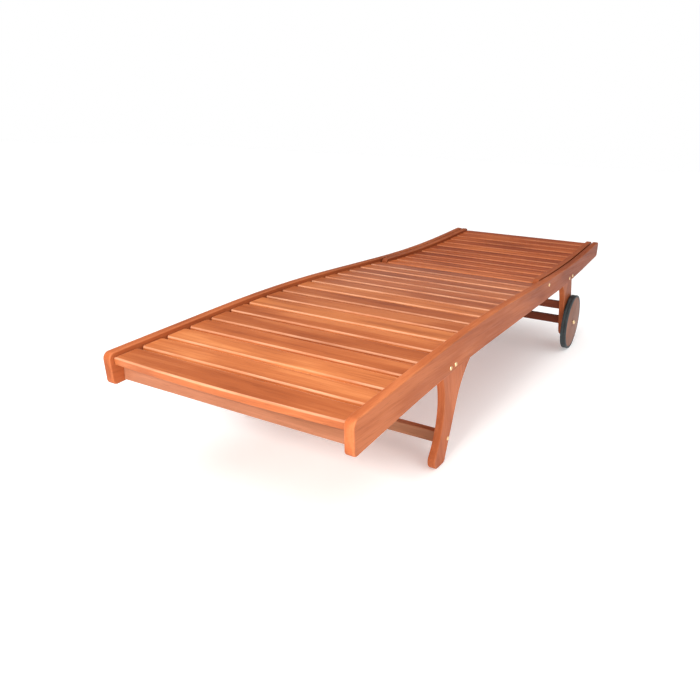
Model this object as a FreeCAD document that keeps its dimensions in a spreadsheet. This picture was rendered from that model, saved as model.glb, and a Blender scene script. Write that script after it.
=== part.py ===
"""Reclining sun lounger in hardwood, with a hinged backrest, a prop frame on
notched racks and two wheels at the head end.

Frame: +Z up, +Y from the foot end to the head end, +X to the right. The origin
is on the ground, in the middle of the length and of the width. Millimetres.
"""
import FreeCAD, Part
import math
import os
import Sketcher
from FreeCAD import Vector

os.makedirs("parts", exist_ok=True)
doc = FreeCAD.newDocument("SunLounger")

# ---------------------------------------------------------------- sizes
SIZES = [
    ("overall_length", 2000.0, "foot end to head end of the side rails"),
    ("overall_width", 640.0, "outer face to outer face of the side rails"),
    ("rail_thick", 22.0, "side rail, across"),
    ("rail_corner_top", 16.0, "rounded upper corner of the rail ends"),
    ("rail_corner_low", 12.0, "rounded lower corner of the rail ends"),
    ("foot_end_lean", 4.5, "rail foot end, lower corner behind the upper one"),
    ("crown_height", 351.2, "top of the rails in the flat middle"),
    ("crown_foot_start", 865.0, "foot end to where the flat of the rail top starts"),
    ("crown_foot_radius", 6000.0, "bow of the rail top, foot half"),
    ("crown_foot_slope", 4.89, "slope of the rail top at the foot end, degrees"),
    ("crown_head_start", 785.0, "head end to where the flat of the rail top ends"),
    ("crown_head_radius", 7000.0, "sweep of the rail top, head half"),
    ("crown_head_slope", 4.97, "slope of the rail top at the head end, degrees"),
    ("rail_depth", 73.8, "rail depth in the middle"),
    ("under_slope", 1.35, "slope of the rail underside in the middle, degrees"),
    ("under_foot_start", 670.0, "foot end to where the underside is straight"),
    ("under_foot_radius", 7000.0, "bow of the underside, foot half"),
    ("under_foot_slope", 5.6, "slope of the underside at the foot end, degrees"),
    ("under_head_start", 750.0, "head end to where the underside is straight"),
    ("under_head_radius", 8500.0, "sweep of the underside, head half"),
    ("under_head_slope", 5.4, "slope of the underside at the head end, degrees"),
    ("slat_width", 63.0, "slat, along the lounger"),
    ("slat_thick", 18.0, "slat thickness"),
    ("slat_drop", 10.0, "slat tops below the rail tops"),
    ("slat_gap", 11.3, "wanted gap between slats"),
    ("slat_round", 4.0, "rounding of the upper slat edges"),
    ("slat_corner", 6.0, "slat corner in plan"),
    ("slat_end_gap", 2.0, "seat slat end to the rail"),
    ("foot_inset", 13.0, "first slat behind the rail ends"),
    ("foot_bow", 9.0, "forward bow of the first slat"),
    ("ledger_thick", 22.0, "seat ledger, across"),
    ("ledger_depth", 22.0, "seat ledger, upright"),
    ("apron_setback", 35.0, "apron front face behind the rail ends"),
    ("apron_thick", 18.0, "apron along the lounger"),
    ("apron_low", 4.0, "apron lower edge above the rail underside"),
    ("hinge_from_head", 759.5, "hinge axis to the head end"),
    ("hinge_drop", 18.2, "hinge axis below the rail top"),
    ("rest_overhang", 34.5, "backrest in front of its hinge axis"),
    ("rest_gap", 15.5, "seat slats to backrest"),
    ("stile_thick", 20.0, "backrest stile, across"),
    ("stile_depth", 37.0, "backrest stile, upright"),
    ("stile_clear", 6.0, "stile to rail"),
    ("stile_rest_clear", 0.3, "stile above its rest ledger"),
    ("front_leg_from_foot", 460.0, "front leg reference line to the foot end"),
    ("leg_thick", 20.0, "legs, across"),
    ("front_leg_waist", 179.0, "height of the narrowest part of the front leg"),
    ("front_stretcher_depth", 30.0, "front stretcher, upright"),
    ("front_stretcher_thick", 22.0, "front stretcher, along the lounger"),
    ("front_stretcher_height", 62.7, "front stretcher centre height"),
    ("axle_from_head", 300.0, "axle to the head end"),
    ("wheel_radius", 106.8, "over the tyre"),
    ("wheel_width", 22.0, "disc and tyre"),
    ("wheel_side_clear", 2.0, "leg to wheel"),
    ("tyre_section", 8.0, "tyre, radial"),
    ("tread_groove", 2.0, "depth of the groove in the tread"),
    ("axle_radius", 5.0, "axle rod"),
    ("running_clear", 0.08, "radial clearance of the turning fits"),
    ("axle_cap_radius", 8.0, "cap nut"),
    ("rear_leg_eye", 55.0, "rear leg lower end, radius about the axle"),
    ("rear_leg_top_width", 156.0, "rear leg along the rail"),
    ("rear_upper_height", 184.0, "upper rear stretcher centre height"),
    ("rear_lower_height", 120.5, "lower rear stretcher centre height"),
    ("rear_stretcher_depth", 29.0, "rear stretchers, upright"),
    ("rear_stretcher_thick", 22.0, "rear stretchers, along the lounger"),
    ("bolt_radius", 3.0, "leg and stretcher bolts"),
    ("bolt_head_radius", 5.5, "bolt heads"),
    ("bolt_head_height", 2.6, "bolt heads"),
    ("hinge_radius", 4.0, "hinge bolts"),
    ("prop_reach", 345.0, "prop arm between its pivot and the foot bar"),
    ("prop_pivot_drop", 13.0, "prop pivot below the hinge axis"),
    ("prop_arm_width", 20.0, "prop arm, upright when folded"),
    ("prop_arm_thick", 16.0, "prop arm, across"),
    ("prop_pin_radius", 4.0, "prop pivot bolts"),
    ("prop_side_clear", 2.0, "between the arm, its block and the rack"),
    ("block_thick", 20.0, "prop block, across"),
    ("block_length", 60.0, "prop block along the stile"),
    ("bar_radius", 6.0, "foot bar"),
    ("bar_end_clear", 4.0, "foot bar end to the stile"),
    ("rack_thick", 18.0, "notched rack, across"),
    ("rack_clear", 0.5, "foot bar path above the rack"),
    ("rack_ledger_depth", 23.0, "rest ledger, upright"),
    ("notch_radius", 6.5, "rack notches"),
    ("recline_limit", 55.0, "steepest backrest position, degrees"),
]
NOTCH_ANGLES = (25.0, 35.0, 45.0, 55.0)

sheet = doc.addObject("Spreadsheet::Sheet", "Sizes")
for row, (alias, number, note) in enumerate(SIZES, start=1):
    sheet.set("A%d" % row, alias.replace("_", " "))
    sheet.set("B%d" % row, repr(number))
    sheet.setAlias("B%d" % row, alias)
    sheet.set("C%d" % row, note)
doc.recompute()


def size(alias):
    """A driving size, read from the sheet."""
    return float(sheet.get(alias))


# ---------------------------------------------------------------- curves
class Sweep:
    """The long S-shaped line of the rails: straight at both ends and in the
    middle, with a tangent arc in each half. All slopes rise to the head."""

    def __init__(self, height, slope, foot, head):
        self.height = height
        self.slope = math.radians(slope)
        self.foot_start, self.foot_radius, self.foot_slope = foot
        self.head_start, self.head_radius, self.head_slope = head
        self.foot_slope = math.radians(self.foot_slope)
        self.head_slope = math.radians(self.head_slope)
        a = self.slope
        y, z = -self.foot_start, self.height - self.foot_start * math.tan(a)
        self.foot_centre = (y + self.foot_radius * math.sin(a),
                            z - self.foot_radius * math.cos(a))
        y, z = self.head_start, self.height + self.head_start * math.tan(a)
        self.head_centre = (y - self.head_radius * math.sin(a),
                            z + self.head_radius * math.cos(a))
        self.foot_end = (self.foot_centre[0] - self.foot_radius * math.sin(self.foot_slope),
                         self.foot_centre[1] + self.foot_radius * math.cos(self.foot_slope))
        self.head_end = (self.head_centre[0] + self.head_radius * math.sin(self.head_slope),
                         self.head_centre[1] - self.head_radius * math.cos(self.head_slope))

    def angle(self, y):
        if y <= self.foot_end[0]:
            return self.foot_slope
        if y < -self.foot_start:
            return math.asin((self.foot_centre[0] - y) / self.foot_radius)
        if y <= self.head_start:
            return self.slope
        if y < self.head_end[0]:
            return math.asin((y - self.head_centre[0]) / self.head_radius)
        return self.head_slope

    def z(self, y):
        if y <= self.foot_end[0]:
            return self.foot_end[1] + (y - self.foot_end[0]) * math.tan(self.foot_slope)
        if y < -self.foot_start:
            return self.foot_centre[1] + self.foot_radius * math.cos(self.angle(y))
        if y <= self.head_start:
            return self.height + y * math.tan(self.slope)
        if y < self.head_end[0]:
            return self.head_centre[1] - self.head_radius * math.cos(self.angle(y))
        return self.head_end[1] + (y - self.head_end[0]) * math.tan(self.head_slope)

    def edges(self, y0, y1, drop=0.0):
        """Segments from y0 to y1, lowered by drop: ("line", p, q) or
        ("arc", p, middle, q), each running from foot to head or back."""
        low, high = min(y0, y1), max(y0, y1)
        breaks = [b for b in (self.foot_end[0], -self.foot_start,
                              self.head_start, self.head_end[0])
                  if low + 0.01 < b < high - 0.01]
        stops = [low] + breaks + [high]
        result = []
        for a, b in zip(stops, stops[1:]):
            middle = (a + b) / 2
            p, q = (a, self.z(a) - drop), (b, self.z(b) - drop)
            bent = (self.foot_end[0] < middle < -self.foot_start
                    or self.head_start < middle < self.head_end[0])
            if bent:
                result.append(("arc", p, (middle, self.z(middle) - drop), q))
            else:
                result.append(("line", p, q))
        if y1 < y0:
            result = [(kind,) + tuple(reversed(points))
                      for kind, *points in reversed(result)]
        return result


def arc_through(p, middle, q):
    return ("arc", p, middle, q)


def arc_tangent(p, direction, q):
    """Arc that leaves p along direction and ends at q."""
    length = math.hypot(*direction)
    ux, uy = direction[0] / length, direction[1] / length
    cx, cy = q[0] - p[0], q[1] - p[1]
    chord = math.hypot(cx, cy)
    turn = math.atan2(ux * cy - uy * cx, ux * cx + uy * cy)
    half = turn / 2
    reach = chord / (2 * math.cos(half))
    mx = ux * math.cos(half) - uy * math.sin(half)
    my = ux * math.sin(half) + uy * math.cos(half)
    return ("arc", p, (p[0] + mx * reach, p[1] + my * reach), q)


def tangent_point(p, centre, radius, side):
    """Where the line from p touches the circle; side is +1 or -1."""
    dx, dy = centre[0] - p[0], centre[1] - p[1]
    gap = math.hypot(dx, dy)
    reach = math.sqrt(gap * gap - radius * radius)
    turn = side * math.asin(radius / gap)
    ux, uy = dx / gap, dy / gap
    return (p[0] + reach * (ux * math.cos(turn) - uy * math.sin(turn)),
            p[1] + reach * (ux * math.sin(turn) + uy * math.cos(turn)))


def rounded(points, radii):
    """Closed outline through the points, with each corner rounded."""
    n = len(points)
    starts, ends, middles = [], [], []
    for i in range(n):
        p, before, after = points[i], points[i - 1], points[(i + 1) % n]
        r = radii[i]
        if r <= 0:
            starts.append(p), ends.append(p), middles.append(None)
            continue
        ax, ay = before[0] - p[0], before[1] - p[1]
        bx, by = after[0] - p[0], after[1] - p[1]
        la, lb = math.hypot(ax, ay), math.hypot(bx, by)
        ax, ay, bx, by = ax / la, ay / la, bx / lb, by / lb
        half = math.acos(ax * bx + ay * by) / 2
        back = r / math.tan(half)
        mx, my = ax + bx, ay + by
        lm = math.hypot(mx, my)
        out = r / math.sin(half) - r
        starts.append((p[0] + ax * back, p[1] + ay * back))
        ends.append((p[0] + bx * back, p[1] + by * back))
        middles.append((p[0] + mx / lm * out, p[1] + my / lm * out))
    result = []
    for i in range(n):
        if middles[i] is not None:
            result.append(("arc", starts[i], middles[i], ends[i]))
        result.append(("line", ends[i], starts[(i + 1) % n]))
    return result


# ---------------------------------------------------------------- builders
nodes = []


def plane_of(body, role):
    return [f for f in body.Origin.OriginFeatures if f.Role == role][0]


def new_sketch(body, name, role):
    sketch = body.newObject("Sketcher::SketchObject", name)
    sketch.AttachmentSupport = [(plane_of(body, role), "")]
    sketch.MapMode = "FlatFace"
    return sketch


def draw(sketch, segments):
    """Closed outline of lines and arcs whose ends meet. Each one is blocked,
    so that the outline stays where the layout puts it."""
    placed = []
    for kind, *points in segments:
        vectors = [Vector(p[0], p[1], 0) for p in points]
        if vectors[0].distanceToPoint(vectors[-1]) < 1e-6:
            continue
        curve = Part.LineSegment(*vectors) if kind == "line" else Part.Arc(*vectors)
        placed.append(sketch.addGeometry(curve, False))
    for index in placed:
        sketch.addConstraint(Sketcher.Constraint("Block", index))
    return placed


def bind(sketch, name, constraint, expression):
    index = sketch.addConstraint(constraint)
    sketch.renameConstraint(index, name)
    sketch.setExpression("Constraints.%s" % name, expression)


def hole(sketch, number, centre, alias, extra=""):
    """Round hole whose radius is bound to the sheet."""
    radius = size(alias) + (size(extra) if extra else 0.0)
    index = sketch.addGeometry(
        Part.Circle(Vector(centre[0], centre[1], 0), Vector(0, 0, 1), radius), False)
    text = "Sizes.%s" % alias + (" + Sizes.%s" % extra if extra else "")
    bind(sketch, "hole_%d" % number, Sketcher.Constraint("Radius", index, radius), text)


def new_body(name):
    body = doc.addObject("PartDesign::Body", name)
    body.Label = name
    nodes.append(body)
    return body


def pad(body, sketch, expression, name="pad"):
    feature = body.newObject("PartDesign::Pad", body.Name + "_" + name)
    feature.Profile = sketch
    feature.setExpression("Length", expression)
    sketch.Visibility = False
    return feature


def place_x(body, expression):
    body.setExpression("Placement.Base.x", expression)


def round_edges(body, base, alias, wanted):
    """Fillet on the edges of base for which wanted(edge) is true."""
    doc.recompute()
    names = ["Edge%d" % i for i, e in enumerate(base.Shape.Edges, start=1) if wanted(e)]
    fillet = body.newObject("PartDesign::Fillet", body.Name + "_round")
    fillet.Base = (base, names)
    fillet.setExpression("Radius", "Sizes." + alias)
    return fillet


def side_piece(name, segments, thick_expression, x_expression, holes=()):
    """Piece drawn from the side and as thick as thick_expression, across."""
    body = new_body(name)
    sketch = new_sketch(body, name + "_profile", "YZ_Plane")
    draw(sketch, segments)
    for number, (centre, *aliases) in enumerate(holes, start=1):
        hole(sketch, number, centre, *aliases)
    pad(body, sketch, thick_expression)
    place_x(body, x_expression)
    return body


def both_sides(make):
    """Right and left copies: make(suffix, side) with side +1 or -1."""
    for suffix, side in (("right", 1), ("left", -1)):
        make(suffix, side)


def across(side, inner, outer):
    """Placement of a side piece that spans inner to outer on the right."""
    return inner if side > 0 else "-(%s)" % outer


# ---------------------------------------------------------------- layout
half_length = size("overall_length") / 2
half_width = size("overall_width") / 2
crown = Sweep(size("crown_height"), 0.0,
              (half_length - size("crown_foot_start"), size("crown_foot_radius"), size("crown_foot_slope")),
              (half_length - size("crown_head_start"), size("crown_head_radius"), size("crown_head_slope")))
under = Sweep(size("crown_height") - size("rail_depth"), size("under_slope"),
              (half_length - size("under_foot_start"), size("under_foot_radius"), size("under_foot_slope")),
              (half_length - size("under_head_start"), size("under_head_radius"), size("under_head_slope")))

RAIL_IN = "Sizes.overall_width / 2 - Sizes.rail_thick"
RAIL_OUT = "Sizes.overall_width / 2"
LEG_IN = RAIL_IN + " - Sizes.leg_thick"
STILE_OUT = RAIL_IN + " - Sizes.stile_clear"
STILE_IN = STILE_OUT + " - Sizes.stile_thick"
rail_in = half_width - size("rail_thick")
leg_in = rail_in - size("leg_thick")
stile_out = rail_in - size("stile_clear")
stile_in = stile_out - size("stile_thick")

seat_under = size("slat_drop") + size("slat_thick")
ledger_under = seat_under + size("ledger_depth")

hinge_y = half_length - size("hinge_from_head")
hinge = (hinge_y, crown.z(hinge_y) - size("hinge_drop"))
axle = (half_length - size("axle_from_head"), size("wheel_radius"))
rest_start = hinge_y - size("rest_overhang")
seat_end = rest_start - size("rest_gap")
seat_start = -half_length + size("foot_inset")

# front leg: reference line, top edge under the ledger, bolts on the rail
leg_y = -half_length + size("front_leg_from_foot")
leg_front, leg_back = leg_y - 52.0, leg_y + 176.0
leg_top = crown.z(leg_front) - ledger_under - 1.0
front_bolts = [(y, under.z(y) + 15.0) for y in (leg_y - 32.0, leg_y - 3.0)]
stretcher_bolt = (leg_y + 43.0, size("front_stretcher_height"))

# rear leg: its eye is on the axle, its top edge is under the stile
rear_front = axle[0] - 192.0
rear_back = rear_front + size("rear_leg_top_width")
rear_top = crown.z(rear_front) - size("stile_depth") - 2.0
rear_bolts = [(y, under.z(y) + 14.5) for y in (rear_front + 26.5, rear_front + 70.0)]

# prop: pivot on the backrest, foot bar on a straight path through the hinge
reach = size("prop_reach")
low = -math.asin(size("prop_pivot_drop") / reach)
prop_pivot = (hinge[0] + reach * math.cos(low), hinge[1] + reach * math.sin(low))
bar_line = math.radians(1.08)
fold = bar_line - low
prop_angle = bar_line + fold
bar_rest = (prop_pivot[0] + reach * math.cos(prop_angle),
            prop_pivot[1] + reach * math.sin(prop_angle))


def bar_at(recline):
    """Centre of the foot bar with the backrest raised by recline degrees."""
    gap = 2 * reach * math.cos(math.radians(recline) - fold)
    return (hinge[0] + gap * math.cos(bar_line), hinge[1] + gap * math.sin(bar_line))


# ---------------------------------------------------------------- side rails
def rail_outline(y0, y1, top, bottom, top_drop, bottom_drop, r_top, r_low, lean=0.0):
    """Outline between two sweeps with rounded corners at both ends; the lower
    corner of the foot end lies behind the upper one by lean."""
    def cut(curve, drop, y):
        return (y, curve.z(y) - drop)
    upper = top.edges(y0 + r_top, y1 - r_top, top_drop)
    y_low = y0 + lean
    lower = bottom.edges(y1 - r_low, y_low + r_low, bottom_drop)
    k = 1 - math.sqrt(0.5)
    head_top, foot_top = cut(top, top_drop, y1 - r_top), cut(top, top_drop, y0 + r_top)
    head_low, foot_low = cut(bottom, bottom_drop, y1 - r_low), cut(bottom, bottom_drop, y_low + r_low)
    a = (y1, head_top[1] - r_top)
    b = (y1, head_low[1] + r_low)
    c = (y_low, foot_low[1] + r_low)
    d = (y0, foot_top[1] - r_top)
    return (upper
            + [("arc", head_top, (y1 - r_top * k, head_top[1] - r_top * k), a),
               ("line", a, b),
               ("arc", b, (y1 - r_low * k, head_low[1] + r_low * k), head_low)]
            + lower
            + [("arc", foot_low, (y_low + r_low * k, foot_low[1] + r_low * k), c),
               ("line", c, d),
               ("arc", d, (y0 + r_top * k, foot_top[1] - r_top * k), foot_top)])


def side_rail(suffix, side):
    outline = rail_outline(-half_length, half_length, crown, under, 0.0, 0.0,
                           size("rail_corner_top"), size("rail_corner_low"),
                           size("foot_end_lean"))
    holes = [(p, "bolt_radius") for p in front_bolts + rear_bolts]
    holes.append((hinge, "hinge_radius"))
    side_piece("side_rail_" + suffix, outline, "Sizes.rail_thick",
               across(side, RAIL_IN, RAIL_OUT), holes)


both_sides(side_rail)

# ---------------------------------------------------------------- seat
apron_front = -half_length + size("apron_setback")
apron_back = apron_front + size("apron_thick")


def seat_ledger(suffix, side):
    top = crown.edges(apron_back, seat_end, seat_under)
    low_edge = crown.edges(seat_end, apron_back, ledger_under)
    outline = (top + [("line", top[-1][-1], low_edge[0][1])]
               + low_edge + [("line", low_edge[-1][-1], top[0][1])])
    side_piece("seat_ledger_" + suffix, outline, "Sizes.ledger_thick",
               across(side, RAIL_IN + " - Sizes.ledger_thick", RAIL_IN))


both_sides(seat_ledger)

apron_bottom = under.z(apron_front) + size("apron_low")
apron_top = [crown.z(y) - seat_under for y in (apron_front, apron_back)]
side_piece("front_apron",
           [("line", (apron_front, apron_bottom), (apron_back, apron_bottom)),
            ("line", (apron_back, apron_bottom), (apron_back, apron_top[1])),
            ("line", (apron_back, apron_top[1]), (apron_front, apron_top[0])),
            ("line", (apron_front, apron_top[0]), (apron_front, apron_bottom))],
           "Sizes.overall_width - 2 * Sizes.rail_thick", "-(%s)" % RAIL_IN)


def slat(name, y, half, bow=0.0):
    """Flat board across the lounger, its underside centred at y on the sweep."""
    body = new_body(name)
    sketch = new_sketch(body, name + "_profile", "XY_Plane")
    deep, corner = size("slat_width") / 2, size("slat_corner")
    if bow:
        outline = rounded([(-half, -deep), (half, -deep), (half, deep), (-half, deep)],
                          [0.0, 0.0, corner, corner])
        outline = [s for s in outline if s != ("line", (-half, -deep), (half, -deep))]
        outline.append(arc_through((-half, -deep), (0.0, -deep - bow), (half, -deep)))
        outline = [outline[-1]] + outline[:-1]
    else:
        outline = rounded([(-half, -deep), (half, -deep), (half, deep), (-half, deep)],
                          [corner] * 4)
    draw(sketch, outline)
    feature = pad(body, sketch, "Sizes.slat_thick")
    doc.recompute()
    top = size("slat_thick")
    round_edges(body, feature, "slat_round",
                lambda e: all(abs(v.Z - top) < 1e-3 for v in e.Vertexes))
    body.Placement = FreeCAD.Placement(
        Vector(0, y, crown.z(y) - seat_under),
        FreeCAD.Rotation(Vector(1, 0, 0), math.degrees(crown.angle(y))))
    return body


def slat_row(prefix, start, end, half, first_bow=0.0):
    """As many slats as fit between start and end at about the wanted gap."""
    width = size("slat_width")
    count = max(2, round((end - start + size("slat_gap")) / (width + size("slat_gap"))))
    pitch = (end - start - width) / (count - 1)
    for i in range(count):
        slat("%s_%02d" % (prefix, i + 1), start + width / 2 + i * pitch, half,
             first_bow if i == 0 else 0.0)


slat_row("seat_slat", seat_start, seat_end, rail_in - size("slat_end_gap"),
         size("foot_bow"))

# ---------------------------------------------------------------- front legs
stretcher_y = stretcher_bolt[0]


def front_leg(suffix, side):
    foot = [(leg_y - 27.0, 34.0), (leg_y - 24.0, 10.0), (leg_y - 8.0, 0.0)]
    heel = [(leg_y + 23.0, 0.0), (leg_y + 34.0, 3.6), (leg_y + 39.0, 13.0)]
    calf = (leg_y + 84.0, size("front_leg_waist") * 0.838)
    knee = (leg_back, under.z(leg_back) - 9.0)
    outline = [
        arc_through((leg_front, leg_top), (leg_y + 3.0, size("front_leg_waist")), foot[0]),
        arc_through(*foot),
        ("line", foot[2], heel[0]),
        arc_through(*heel),
        ("line", heel[2], calf),
        arc_tangent(calf, (calf[0] - heel[2][0], calf[1] - heel[2][1]), knee),
        ("line", knee, (leg_back, leg_top)),
        ("line", (leg_back, leg_top), (leg_front, leg_top))]
    holes = [(p, "bolt_radius") for p in front_bolts + [stretcher_bolt]]
    side_piece("front_leg_" + suffix, outline, "Sizes.leg_thick",
               across(side, LEG_IN, RAIL_IN), holes)


both_sides(front_leg)

STRETCHER_SPAN = "Sizes.overall_width - 2 * Sizes.rail_thick - 2 * Sizes.leg_thick"


def stretcher(name, y, z, thick, depth, screw=None):
    """Board between the legs, centred at y, z; screw drills both ends."""
    label = name if screw is None else name + "_board"
    board = doc.addObject("Part::Box", label)
    board.setExpression("Length", STRETCHER_SPAN)
    board.setExpression("Width", "Sizes." + thick)
    board.setExpression("Height", "Sizes." + depth)
    board.setExpression("Placement.Base.x", "-(%s)" % LEG_IN)
    board.Placement.Base = Vector(-leg_in, y - size(thick) / 2, z - size(depth) / 2)
    if screw is None:
        nodes.append(board)
        board.Label = name
        return board
    cutters = []
    for suffix, side in (("right", 1), ("left", -1)):
        drill = doc.addObject("Part::Cylinder", "%s_drill_%s" % (name, suffix))
        drill.setExpression("Radius", "Sizes.bolt_radius")
        drill.Height = screw
        drill.Placement = FreeCAD.Placement(Vector(side * leg_in, y, z),
                                            FreeCAD.Rotation(Vector(0, 1, 0), -90.0 * side))
        cutters.append(drill)
    drills = doc.addObject("Part::MultiFuse", name + "_drills")
    drills.Shapes = cutters
    cut = doc.addObject("Part::Cut", name)
    cut.Base, cut.Tool = board, drills
    cut.Label = name
    nodes.append(cut)
    return cut


SCREW_BITE = 18.0
stretcher("front_stretcher", stretcher_y, size("front_stretcher_height"),
          "front_stretcher_thick", "front_stretcher_depth", SCREW_BITE)

# ---------------------------------------------------------------- rear legs
eye = size("rear_leg_eye")
shin = (axle[0] - 100.0, size("rear_upper_height") + 24.5)
shin_low = tangent_point(shin, axle, eye, -1)
calf_top = (rear_back, rear_top)
calf_low = tangent_point(calf_top, axle, eye, 1)


def rear_leg(suffix, side):
    knee = (rear_front, under.z(rear_front))
    flare = arc_tangent(shin, (shin[0] - shin_low[0], shin[1] - shin_low[1]), knee)
    outline = [
        ("arc", knee, flare[2], shin),
        ("line", shin, shin_low),
        arc_through(shin_low, (axle[0], axle[1] - eye), calf_low),
        ("line", calf_low, calf_top),
        ("line", calf_top, (rear_front, rear_top)),
        ("line", (rear_front, rear_top), knee)]
    holes = [(p, "bolt_radius") for p in rear_bolts] + [(axle, "axle_radius")]
    side_piece("rear_leg_" + suffix, outline, "Sizes.leg_thick",
               across(side, LEG_IN, RAIL_IN), holes)


both_sides(rear_leg)


def shin_y(z):
    """Front edge of the rear leg at height z."""
    share = (z - shin[1]) / (shin_low[1] - shin[1])
    return shin[0] + share * (shin_low[0] - shin[0])


for name, height in (("rear_upper_stretcher", size("rear_upper_height")),
                     ("rear_lower_stretcher", size("rear_lower_height"))):
    y = shin_y(height) + 9.0 + size("rear_stretcher_thick") / 2
    stretcher(name, y, height, "rear_stretcher_thick", "rear_stretcher_depth")


# ---------------------------------------------------------------- backrest
def stile(suffix, side):
    depth = size("stile_depth")
    r_top, r_low = size("rail_corner_top"), size("rail_corner_low")
    outline = rail_outline(rest_start - r_top, half_length, crown, crown, 0.0, depth,
                           r_top, r_low)
    nose_y = rest_start + depth / 2
    top = crown.edges(nose_y, half_length - r_top)
    low_edge = crown.edges(half_length - r_low, nose_y, depth)
    end = outline[len(crown.edges(rest_start, half_length - r_top)):][:3]
    nose = arc_through(low_edge[-1][-1],
                       (rest_start, crown.z(nose_y) - depth / 2), top[0][1])
    side_piece("backrest_stile_" + suffix, top + end + low_edge + [nose],
               "Sizes.stile_thick", across(side, STILE_IN, STILE_OUT),
               [(hinge, "hinge_radius", "running_clear")])


both_sides(stile)

slat_row("backrest_slat", rest_start + 1.0, half_length, stile_in)

block_front = prop_pivot[0] - size("block_length") / 2
block_back = prop_pivot[0] + size("block_length") / 2
block_low = prop_pivot[1] - size("prop_arm_width") / 2 - 2.0


def prop_block(suffix, side):
    top = crown.edges(block_front, block_back, seat_under + 0.05)
    outline = top + [("line", top[-1][-1], (block_back, block_low)),
                     ("line", (block_back, block_low), (block_front, block_low)),
                     ("line", (block_front, block_low), top[0][1])]
    side_piece("prop_block_" + suffix, outline, "Sizes.block_thick",
               across(side, STILE_IN + " - Sizes.block_thick", STILE_IN),
               [(prop_pivot, "prop_pin_radius")])


both_sides(prop_block)


# ---------------------------------------------------------------- rest racks
def rest_rack(suffix, side):
    """Ledger that the stile lies on, with the notched rack on its inner side."""
    drop_top = size("stile_depth") + size("stile_rest_clear")
    drop_low = drop_top + size("rack_ledger_depth")
    ledger_front = rear_back + 12.0
    ledger_back = half_length - 38.0
    name = "rest_rack_" + suffix
    body = new_body(name)

    top = crown.edges(ledger_front, ledger_back, drop_top)
    low_edge = crown.edges(ledger_back, ledger_front, drop_low)
    ledger = new_sketch(body, name + "_ledger", "YZ_Plane")
    draw(ledger, top + [("line", top[-1][-1], low_edge[0][1])]
         + low_edge + [("line", low_edge[-1][-1], top[0][1])])
    ledger_width = RAIL_IN + " - (%s) + Sizes.prop_side_clear" % STILE_IN
    ledger_pad = pad(body, ledger, ledger_width, "ledger_pad")
    width = rail_in - stile_in + size("prop_side_clear")

    def path(y):
        return hinge[1] + (y - hinge[0]) * math.tan(bar_line) \
            - size("bar_radius") - size("rack_clear")

    rack_front = bar_at(size("recline_limit"))[0] - 15.0
    stop = bar_rest[0] + size("bar_radius") + 4.0
    notch = size("notch_radius")
    outline, here = [], (rack_front, path(rack_front))
    for angle in sorted(NOTCH_ANGLES, reverse=True):
        y = bar_at(min(angle, size("recline_limit")))[0]
        a, b = (y - notch, path(y - notch)), (y + notch, path(y + notch))
        outline += [("line", here, a), arc_through(a, (y, path(y) - notch), b)]
        here = b
    outline += [("line", here, (stop, path(stop))),
                ("line", (stop, path(stop)), (stop, path(stop) + 12.0)),
                ("line", (stop, path(stop) + 12.0), (ledger_back, path(stop) + 12.0))]
    rack_low = crown.edges(ledger_back, rack_front, drop_low)
    outline += [("line", outline[-1][-1], rack_low[0][1])] + rack_low \
        + [("line", rack_low[-1][-1], (rack_front, path(rack_front)))]
    rack = new_sketch(body, name + "_rack", "YZ_Plane")
    draw(rack, outline)
    rack_pad = pad(body, rack, "Sizes.rack_thick + 0.01", "rack_pad")
    if side > 0:
        rack.AttachmentOffset.Base = Vector(0, 0, -size("rack_thick"))
        rack.setExpression("AttachmentOffset.Base.z", "-Sizes.rack_thick")
    else:
        rack.AttachmentOffset.Base = Vector(0, 0, width - 0.01)
        rack.setExpression("AttachmentOffset.Base.z", ledger_width + " - 0.01")
    place_x(body, across(side, STILE_IN + " - Sizes.prop_side_clear", RAIL_IN))
    body.Tip = rack_pad
    return ledger_pad


both_sides(rest_rack)


# ---------------------------------------------------------------- prop frame
ARM_OUT = STILE_IN + " - Sizes.block_thick - Sizes.prop_side_clear"
ARM_IN = ARM_OUT + " - Sizes.prop_arm_thick"
arm_out = stile_in - size("block_thick") - size("prop_side_clear")
arm_in = arm_out - size("prop_arm_thick")


def prop_arm(suffix, side):
    r = size("prop_arm_width") / 2
    c, s = math.cos(prop_angle), math.sin(prop_angle)

    def at(p, along, up):
        return (p[0] + along * c - up * s, p[1] + along * s + up * c)
    outline = [
        ("line", at(prop_pivot, 0, r), at(bar_rest, 0, r)),
        arc_through(at(bar_rest, 0, r), at(bar_rest, r, 0), at(bar_rest, 0, -r)),
        ("line", at(bar_rest, 0, -r), at(prop_pivot, 0, -r)),
        arc_through(at(prop_pivot, 0, -r), at(prop_pivot, -r, 0), at(prop_pivot, 0, r))]
    side_piece("prop_arm_" + suffix, outline, "Sizes.prop_arm_thick",
               across(side, ARM_IN, ARM_OUT),
               [(prop_pivot, "prop_pin_radius", "running_clear"), (bar_rest, "bar_radius")])


both_sides(prop_arm)

bar = doc.addObject("Part::Cylinder", "prop_bar")
bar.Label = "prop_bar"
bar.setExpression("Radius", "Sizes.bar_radius")
bar.setExpression("Height", "2 * (%s - Sizes.bar_end_clear)" % STILE_IN)
bar.Placement = FreeCAD.Placement(
    Vector(-(stile_in - size("bar_end_clear")), bar_rest[0], bar_rest[1]),
    FreeCAD.Rotation(Vector(0, 1, 0), 90.0))
nodes.append(bar)


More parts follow.
